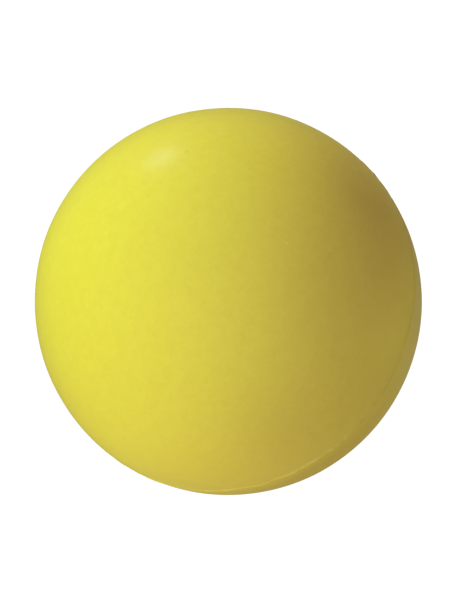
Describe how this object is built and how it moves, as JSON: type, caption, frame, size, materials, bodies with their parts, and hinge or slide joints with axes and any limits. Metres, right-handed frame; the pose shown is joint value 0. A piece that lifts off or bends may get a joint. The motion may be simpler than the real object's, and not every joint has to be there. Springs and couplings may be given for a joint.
{
  "type": "stress ball",
  "caption": "Palm-sized round foam squeeze ball with a smooth satin coat and a fine moulded parting line; it flattens when squeezed and springs back.",
  "frame": {"origin": "centre of the ball", "axes": "+Z along the normal of the moulded parting plane, which is also the way the ball is squeezed; X and Y lie in that plane"},
  "size_m": [0.0632, 0.0632, 0.063],
  "materials": {
    "core_foam": "open-cell flexible urethane foam",
    "skin_foam": "dense integral skin of the same foam",
    "coat": "smooth satin flexible coat",
    "bead": "trimmed solid urethane"
  },
  "bodies": {
    "core": {"foam_core": "core_foam", "parting_bead": "bead"},
    "upper_half": {"upper_skin": "skin_foam", "upper_coat": "coat"},
    "lower_half": {"lower_skin": "skin_foam", "lower_coat": "coat"}
  },
  "joints": [
    {"name": "squeeze", "type": "slide", "parent": "core", "child": "upper_half", "axis": [0, 0, -1], "range_m": [0, 0.0125], "stiffness_N_per_m": 4000, "deforming": ["upper_skin", "upper_coat", "foam_core", "parting_bead"]},
    {"name": "squeeze_lower", "type": "slide", "parent": "core", "child": "lower_half", "axis": [0, 0, 1], "range_m": [0, 0.0125], "stiffness_N_per_m": 4000, "deforming": ["lower_skin", "lower_coat"]}
  ],
  "couplings": [
    {"joint": "squeeze_lower", "follows": "squeeze", "ratio": 1}
  ]
}
